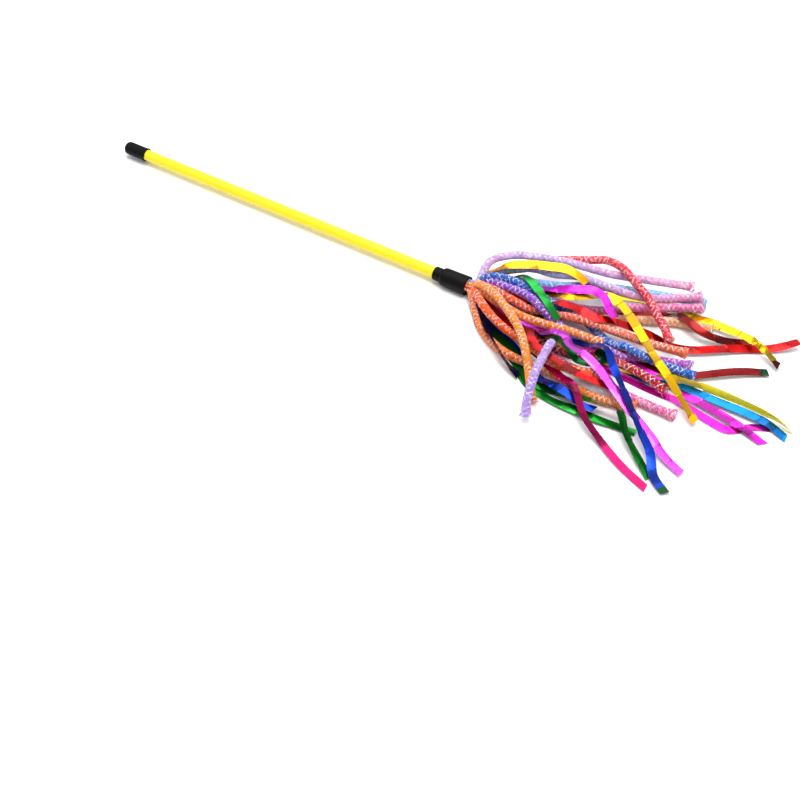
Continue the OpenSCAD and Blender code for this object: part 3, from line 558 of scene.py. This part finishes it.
# Painted shade, which stands in for reflections: how much of its colour a facet shows, the share
# of facets that show it, and what share of it a crease keeps, so that creases are painted darker.
FACET_PAINTED_SHADES = [1.0, 0.8, 0.5, 0.22]
FACET_SHADE_SHARES = [0.42, 0.25, 0.18, 0.15]
CREASE_PAINTED_SHADES = [0.5, 0.9, 1.0, 1.0]
# A strip on the table can't tilt much. FREE_RISE above FREE_Z it is wholly free. Where less than
# FREE_CREASE of it is free it has no painted dark creases, and only the lying share below of its
# facets' painted shade.
FREE_Z = -6.2
FREE_RISE = 4.0
FREE_LEAST = 0.15
FREE_CREASE = 0.4
LYING_PAINTED_SHADE = 0.4
# The bumps: crinkles per metre, so about 7 mm long, and stretch grain, about 0.6 mm.
CRINKLES = 150.0
STRETCH_GRAIN = 1600.0

# Front and back colour of each ribbon.
FOIL_COLOURS = {
    "foil_gold_short": ("#f6a800", "#a01418"), "foil_two_tone": ("#f8bc00", "#e01014"),
    "foil_green_band": ("#1eb040", "#146c2c"), "foil_magenta": ("#dc20cc", "#8e1a86"),
    "foil_red_long": ("#c80408", "#9c080c"), "foil_wine_curve": ("#880408", "#6c060a"),
    "foil_gold_knot": ("#f4c808", "#a8741a"), "foil_ruby": ("#780406", "#640608"),
    "foil_azure": ("#0c90f4", "#0c38b8"), "foil_gold_edge": ("#fff41c", "#fff220"),
    "foil_fuchsia": ("#fa2ce0", "#c41fa8"), "foil_fuchsia_edge": ("#e420b8", "#b01f90"),
    "foil_orchid": ("#f450f8", "#c038d0"), "foil_navy": ("#0a3cc0", "#0a1860"),
    "foil_fern": ("#148420", "#0c5014"), "foil_green_arc": ("#109828", "#0c6418"),
    "foil_cobalt": ("#1048e0", "#0c30a0"), "foil_hot_pink": ("#d0086a", "#900a4c"),
    "foil_scarlet": ("#bc0a0e", "#78080c"), "foil_ink": ("#10144c", "#0c0e34"),
    "foil_green_curl": ("#0c7430", "#084820"),
}

# The colour that some ribbons show in their last few mm.
FOIL_TIPS = {"foil_ruby": "#08401c", "foil_navy": "#0e4a1e", "foil_gold_knot": "#6a140c"}

# How much of a ribbon's colour is mirror, and how dark the painted shade of its darkest facets is.
# One ribbon is nearly the same bright yellow along its whole length in the photograph, so it has less
# mirror and a lighter painted shade.
FOIL_MIRROR_AND_SHADE = (0.8, 0.16)
FOIL_MIRROR_AND_SHADE_OF = {"foil_gold_edge": (0.15, 0.8)}


def foil(name, code, metal, darkest_painted_shade):
    """Metallised film: a tinted mirror, softened by stretch lines, with painted shade on its facets and
    painted dark creases, from the strip's 'tone' attribute.
    """
    material, tree, out = start_material(name)
    where = add(tree, "ShaderNodeTexCoord").outputs["Object"]
    crinkle = add(tree, "ShaderNodeTexNoise", {
        "Vector": where, "Scale": CRINKLES, "Detail": 2.0})
    grain = add(tree, "ShaderNodeTexNoise", {
        "Vector": where, "Scale": STRETCH_GRAIN, "Detail": 1.0})
    big = add(tree, "ShaderNodeBump", {
        "Height": crinkle.outputs["Fac"], "Strength": 0.15, "Distance": 1.0 * MM})
    small = add(tree, "ShaderNodeBump", {
        "Height": grain.outputs["Fac"], "Strength": 0.06, "Distance": 0.1 * MM,
        "Normal": big.outputs[0]})
    # The darkest painted shade: the 'tone' attribute mixes between it and the full colour, as a painted
    # reflection.
    deep = [c * darkest_painted_shade for c in linear(code)[:3]] + [1.0]
    painted_shade_colour = add(tree, "ShaderNodeMix", {
        "Factor": add(tree, "ShaderNodeAttribute", attribute_name="tone").outputs["Fac"],
        COLOUR_A: deep, COLOUR_B: linear(code)}, data_type="RGBA")
    film = add(tree, "ShaderNodeBsdfPrincipled", {
        "Base Color": painted_shade_colour.outputs[COLOUR_OUT], "Metallic": metal, "Roughness": 0.22,
        "Coat Weight": 0.08, "Coat Roughness": 0.06, "Normal": small.outputs[0]})
    tree.links.new(film.outputs[0], out.inputs["Surface"])
    return material


def foil_strip(name, line, run, width, seed, materials):
    """A thin strip with both faces, gently dished, from its line in mm. Its creases run across it
    at a slant, with a flat facet between each two. The end is cut at a slant too. Each face gets a
    painted shade in its 'tone' attribute: its facet's painted reflection, painted darker along creases."""
    rng = np.random.default_rng(seed)
    p = line[:, :3]
    way = np.gradient(p, axis=0)
    way /= np.linalg.norm(way, axis=1)[:, None]
    lean = np.clip(1 - run / LEAN_LEN, 0, 1)
    up = np.stack([-lean, 0 * lean, 1 + 0 * lean], axis=1)
    side = np.cross(way, up)
    side /= np.linalg.norm(side, axis=1)[:, None]
    top = np.cross(side, way)
    creases = np.cumsum(rng.uniform(*CREASE_GAP, int(run[-1] / CREASE_GAP[0]) + 3))
    tilts = rng.uniform(-FACET_TILT, FACET_TILT, len(creases) + 1)
    # Painted shade: each facet's painted reflection tone, and the share of it that a crease keeps.
    facet_painted_shades = rng.choice(FACET_PAINTED_SHADES, len(creases) + 1, p=FACET_SHADE_SHARES)
    crease_painted_shades = rng.choice(CREASE_PAINTED_SHADES, len(creases) + 1)
    slant, skew = rng.uniform(-SLANT, SLANT, 2)
    dish = rng.uniform(-DISH, DISH)
    free = np.clip((p[:, 2] - FREE_Z) / FREE_RISE, FREE_LEAST, 1)
    near_end = np.clip((run - run[-1] + END_LEN) / END_LEN, 0, 1)
    rows, painted_shade_rows = [], []
    for face in (1, -1):
        for j in range(FOIL_CELLS + 1):
            s = 2 * j / FOIL_CELLS - 1
            along = run + slant * s * width / 2
            facet = np.minimum(np.searchsorted(creases, along), len(creases) - 1)
            last = np.maximum(facet - 1, 0)
            gone = np.clip((along - creases[last]) / CREASE_LEN, 0, 1)
            sway = (tilts[last] + (tilts[facet] - tilts[last]) * gone) * free
            twist = np.radians(line[:, 3] + sway)[:, None]
            wide = side * np.cos(twist) + top * np.sin(twist)
            tall = top * np.cos(twist) - side * np.sin(twist)
            rise = dish * (1 - s * s) * free
            rows.append(p + wide * (s * width / 2)[:, None]
                        + way * (skew * s * width / 2 * near_end)[:, None]
                        + tall * (rise + face * FOIL_T / 2)[:, None])
            # Painted shade: darker along a crease where the strip is free, else its facet's painted shade,
            # weaker where it lies on the table.
            crease_painted_dark = (gone > 0) & (gone < 1) & (free > FREE_CREASE)
            facet_shade_kept = np.where(free > FREE_CREASE, 1, LYING_PAINTED_SHADE)
            painted_shade_rows.append(np.where(crease_painted_dark, facet_painted_shades[facet] * crease_painted_shades[facet],
                                      1 - (1 - facet_painted_shades[facet]) * facet_shade_kept))
    rows = np.array(rows)
    rows[:, :, 2] = np.maximum(rows[:, :, 2], TABLE_Z / MM + FOIL_CLEAR)
    n, m = len(p), FOIL_CELLS + 1
    rim = list(range(m)) + list(range(2 * m - 1, m - 1, -1))
    faces, kinds, painted_shades = [], [], []
    for i in range(n - 1):
        for a, b in zip(rim, rim[1:] + rim[:1]):
            faces.append((a * n + i, b * n + i, b * n + i + 1, a * n + i + 1))
            at_tip = len(materials) > 2 and run[i] > run[-1] - TIP_LEN
            kinds.append(2 if at_tip else 0 if a < m and b < m else 1)
            painted_shades.append(painted_shade_rows[min(a, b)][i])
    for i, flip in ((0, 1), (n - 1, -1)):
        for a in range(FOIL_CELLS):
            cap = [a * n + i, (a + 1) * n + i, (m + a + 1) * n + i, (m + a) * n + i]
            faces.append(tuple(cap[::flip]))
            kinds.append(0)
            painted_shades.append(1.0)
    mesh = bpy.data.meshes.new(name)
    mesh.from_pydata((rows.reshape(-1, 3) * MM).tolist(), [], faces)
    for material in materials:
        mesh.materials.append(material)
    mesh.polygons.foreach_set("material_index", kinds)
    # Each face's painted shade, read by the foil material.
    mesh.attributes.new("tone", "FLOAT", "FACE").data.foreach_set(
        "value", np.array(painted_shades, np.float32))
    mesh.validate()
    return mesh


# The knot near the end of one gold ribbon, where the ribbon is drawn together: a turn of the same
# film round it, pulled flat. Its faces are painted dark and full colour by turns, as painted shade.
KNOT_X = 188
KNOT_LEN = 2.8
KNOT_R = (2.1, 1.0)
KNOT_T = 0.14
KNOT_RINGS = 20
KNOT_SLIP = (0.5, 0.2)      # how far the turn lies slanted, and how far it waves, in mm
KNOT_SHADE_FACES = 12              # faces from one band of painted shade to the next, standing in for folds
# The painted shade of those bands: dark, then full colour.
KNOT_PAINTED_SHADES = (0.3, 1.0)
PINCH_SHARE = 0.45
PINCH_LEN = 4.0


def knot_band(name, line, material):
    """A flat, slanted turn of film round the line at KNOT_X, its faces painted dark and full colour by
    turns.
    """
    i = int(np.argmin(abs(line[:, 0] - ROUTE_X - KNOT_X)))
    p, twist = line[i, :3], math.radians(line[i, 3])
    way = line[i + 1, :3] - line[i - 1, :3]
    way /= np.linalg.norm(way)
    side = np.cross(way, (0, 0, 1))
    side /= np.linalg.norm(side)
    top = np.cross(side, way)
    wide = side * math.cos(twist) + top * math.sin(twist)
    tall = top * math.cos(twist) - side * math.sin(twist)
    points, faces = [], []
    for k in range(KNOT_RINGS):
        a = math.tau * k / KNOT_RINGS
        slip = KNOT_SLIP[0] * math.cos(a) + KNOT_SLIP[1] * math.cos(3 * a)
        for reach, edge in ((KNOT_T, -1), (KNOT_T, 1), (0.0, 1), (0.0, -1)):
            points.append(p + way * (edge * KNOT_LEN / 2 + slip)
                          + wide * (KNOT_R[0] + reach) * math.cos(a)
                          + tall * (KNOT_R[1] + reach) * math.sin(a))
    for k in range(KNOT_RINGS):
        a, b = 4 * k, 4 * ((k + 1) % KNOT_RINGS)
        faces += [(a + j, b + j, b + (j + 1) % 4, a + (j + 1) % 4) for j in range(4)]
    mesh = bpy.data.meshes.new(name)
    mesh.from_pydata((np.array(points) * MM).tolist(), [], faces)
    shell = bmesh.new()
    shell.from_mesh(mesh)
    bmesh.ops.recalc_face_normals(shell, faces=shell.faces)
    shell.to_mesh(mesh)
    shell.free()
    mesh.materials.append(material)
    # Painted shade: the faces are painted dark and full colour by turns.
    painted_shades = [KNOT_PAINTED_SHADES[f // KNOT_SHADE_FACES % 2] for f in range(len(mesh.polygons))]
    mesh.attributes.new("tone", "FLOAT", "FACE").data.foreach_set(
        "value", np.array(painted_shades, np.float32))
    return link(name, mesh)


for seed, (node, (root, route)) in enumerate(FOIL_ROUTES.items()):
    line, run = strand_line(root, route, FOIL_STEP)
    opened = np.sin(np.clip(run / FOIL_OPEN, 0, 1) * math.pi / 2)
    width = FOIL_ROOT_W + (FOIL_W - FOIL_ROOT_W) * opened
    if node == "foil_gold_knot":
        width *= 1 - PINCH_SHARE * np.exp(-((line[:, 0] - ROUTE_X - KNOT_X) / PINCH_LEN) ** 2)
    metal, darkest_painted_shade = FOIL_MIRROR_AND_SHADE_OF.get(node, FOIL_MIRROR_AND_SHADE)
    films = [foil(f"{node}_{face}", code, metal, darkest_painted_shade)
             for face, code in zip(("front", "back"), FOIL_COLOURS[node])]
    if node in FOIL_TIPS:
        films.append(foil(node + "_tip", FOIL_TIPS[node], metal, darkest_painted_shade))
    strip = link(node + "_strip", foil_strip(
        node + "_strip", line, run, width, FOIL_SEED + seed, films))
    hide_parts(node)
    with_it = []
    if node == "foil_gold_knot":
        with_it.append(knot_band("gold_knot_band", line, films[0]))
        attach(with_it[0], "tassel")
    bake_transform(strip)


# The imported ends: short stretches of the 16 net tubes, pressed side by side where the bunch leaves
# the sleeve's mouth. A pressed tube is thinner, so it is drawn with fewer yarns.
STUB_LEN = 7.0
STUB_OUT = 2.2
STUB_R = 0.9
STUB_YARNS = 10
STUB_TINSELS = 2
STUB_TURN_LEN = 9.0
# How far from the bunch's middle a stretch lies at its inner end, half way along and at its outer
# end, as shares of PACKED_R.
STUB_SHARES = (1.1, 1.08, 1.02)


def stub_points(root):
    """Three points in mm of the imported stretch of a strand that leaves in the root's direction."""
    side, lift = (math.radians(a) for a in root)
    y, z = math.cos(lift) * math.sin(side), math.sin(lift)
    stops = (MOUTH_X - STUB_LEN, MOUTH_X - STUB_LEN / 2, MOUTH_X + STUB_OUT)
    return [(x, PACKED_R * share * y, PACKED_R * share * z) for x, share in zip(stops, STUB_SHARES)]


stubs = []
for node, (root, route) in NET_ROUTES.items():
    points = np.array(stub_points(root)) * MM
    source = line_mesh(node, points, spread=[STUB_R * MM] * 3, fray=[0] * 3)
    stubs.append(made(node + "_stub", source, woven, {
        "Yarns": STUB_YARNS, "Tinsels": STUB_TINSELS, "Turn length": STUB_TURN_LEN * MM,
        "Yarn material": bpy.data.materials[node + "_nylon"],
        "Tinsel material": bpy.data.materials[node + "_tinsel"]}))
with bpy.context.temp_override(active_object=stubs[0], selected_editable_objects=stubs):
    bpy.ops.object.join()
packed = stubs[0]
packed.name = "packed_ends"
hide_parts("bundle_gather")
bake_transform(packed)


# The bound ends: inside the sleeve the strands' inner ends are pressed into one round bundle. The
# sleeve hides it, and it is taken to show its strands' colours in small patches.
BOUND_PATCHES = 900.0       # per metre, so they are about 1.1 mm across


def dress(node, material):
    """Gives a node of the frame its material."""
    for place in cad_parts[node].material_slots:
        place.material = material


bound_ends, tree, out = start_material("pressed_nylon_ends")
mixed = add(tree, "ShaderNodeTexVoronoi", {
    "Vector": add(tree, "ShaderNodeTexCoord").outputs["Object"], "Scale": BOUND_PATCHES})
hues = add(tree, "ShaderNodeMix", {
    "Factor": mixed.outputs["Distance"], COLOUR_A: linear("#d9762c"), COLOUR_B: linear("#8a6ab8")},
    data_type="RGBA")
press = add(tree, "ShaderNodeBsdfPrincipled", {
    "Base Color": hues.outputs[COLOUR_OUT], "Roughness": 0.6})
tree.links.new(press.outputs[0], out.inputs["Surface"])
dress("bundle_root", bound_ends)


# The binding wire: annealed iron wire, wound three times round the bound ends to hold them. The
# sleeve hides it. Annealing leaves it soft, with a dull grey skin that varies a little.
WIRE_PATCHES = 1200.0       # per metre, so they are about 0.8 mm long

iron_wire, tree, out = start_material("annealed_iron_wire")
scale = add(tree, "ShaderNodeTexNoise", {
    "Vector": add(tree, "ShaderNodeTexCoord").outputs["Object"], "Scale": WIRE_PATCHES})
grey = add(tree, "ShaderNodeMix", {
    "Factor": scale.outputs["Fac"], COLOUR_A: linear("#6f6d6a"), COLOUR_B: linear("#a8a6a2")},
    data_type="RGBA")
wire = add(tree, "ShaderNodeBsdfPrincipled", {
    "Base Color": grey.outputs[COLOUR_OUT], "Metallic": 1.0, "Roughness": 0.4})
tree.links.new(wire.outputs[0], out.inputs["Surface"])
dress("tie_wire", iron_wire)


# The glue: hot-melt glue, run into the sleeve to hold the bound ends, where it sets cloudy. The
# sleeve hides it too.
GLUE_SWIRLS = 300.0         # per metre, so they are about 3.3 mm long

cloudy_glue, tree, out = start_material("hot_melt_glue")
swirl = add(tree, "ShaderNodeTexNoise", {
    "Vector": add(tree, "ShaderNodeTexCoord").outputs["Object"], "Scale": GLUE_SWIRLS})
milk = add(tree, "ShaderNodeMix", {
    "Factor": swirl.outputs["Fac"], COLOUR_A: linear("#d9d2b4"), COLOUR_B: linear("#e9e4cf")},
    data_type="RGBA")
melt = add(tree, "ShaderNodeBsdfPrincipled", {
    "Base Color": milk.outputs[COLOUR_OUT], "Roughness": 0.4})
tree.links.new(melt.outputs[0], out.inputs["Surface"])
dress("glue_plug", cloudy_glue)


# The rod: extruded polypropylene tube, dyed yellow right through. It shows faint lines from the
# die along its length, and its dye clouds a little.
DRAW_LINES = 1800.0         # per metre across the rod, so they are about 0.6 mm apart
DRAW_STRETCH = 0.02         # along the rod they are 50 times as long
DYE_CLOUDS = 25.0           # per metre, so they are about 40 mm long

yellow_pp, tree, out = start_material("extruded_yellow_polypropylene")
where = add(tree, "ShaderNodeTexCoord").outputs["Object"]
drawn = add(tree, "ShaderNodeMapping", {"Vector": where, "Scale": (DRAW_STRETCH, 1.0, 1.0)})
lines = add(tree, "ShaderNodeTexNoise", {
    "Vector": drawn.outputs[0], "Scale": DRAW_LINES, "Detail": 2.0})
cloud = add(tree, "ShaderNodeTexNoise", {"Vector": where, "Scale": DYE_CLOUDS, "Detail": 2.0})
dye = add(tree, "ShaderNodeMix", {
    "Factor": cloud.outputs["Fac"], COLOUR_A: linear("#e9d402"), COLOUR_B: linear("#eedc0a")},
    data_type="RGBA")
plastic = add(tree, "ShaderNodeBsdfPrincipled", {
    "Base Color": dye.outputs[COLOUR_OUT], "Roughness": 0.36, "IOR": 1.49,
    "Normal": add(tree, "ShaderNodeBump", {
        "Height": lines.outputs["Fac"], "Strength": 0.12, "Distance": 0.05 * MM}).outputs[0]})
tree.links.new(plastic.outputs[0], out.inputs["Surface"])
dress("rod_tube", yellow_pp)


# The sleeve and the end cap: soft black PVC mouldings, pushed on the rod's two ends, with a fine
# grain and a low shine that is a little uneven from handling.
PVC_GRAIN = 2200.0          # per metre, so it is about 0.5 mm fine
PVC_RUBS = 160.0            # per metre, so they are about 6 mm long

black_pvc, tree, out = start_material("moulded_black_pvc")
where = add(tree, "ShaderNodeTexCoord").outputs["Object"]
grain = add(tree, "ShaderNodeTexNoise", {"Vector": where, "Scale": PVC_GRAIN, "Detail": 2.0})
rubbed = add(tree, "ShaderNodeTexNoise", {"Vector": where, "Scale": PVC_RUBS, "Detail": 4.0})
tone = add(tree, "ShaderNodeMix", {
    "Factor": rubbed.outputs["Fac"], COLOUR_A: linear("#040404"), COLOUR_B: linear("#0a0909")},
    data_type="RGBA")
gloss = add(tree, "ShaderNodeMapRange", {
    "Value": rubbed.outputs["Fac"], "To Min": 0.42, "To Max": 0.6})
vinyl = add(tree, "ShaderNodeBsdfPrincipled", {
    "Base Color": tone.outputs[COLOUR_OUT], "Roughness": gloss.outputs[0], "IOR": 1.53,
    "Specular IOR Level": 0.1,
    "Normal": add(tree, "ShaderNodeBump", {
        "Height": grain.outputs["Fac"], "Strength": 0.15, "Distance": 0.04 * MM}).outputs[0]})
tree.links.new(vinyl.outputs[0], out.inputs["Surface"])
dress("sleeve", black_pvc)
dress("end_cap", black_pvc)
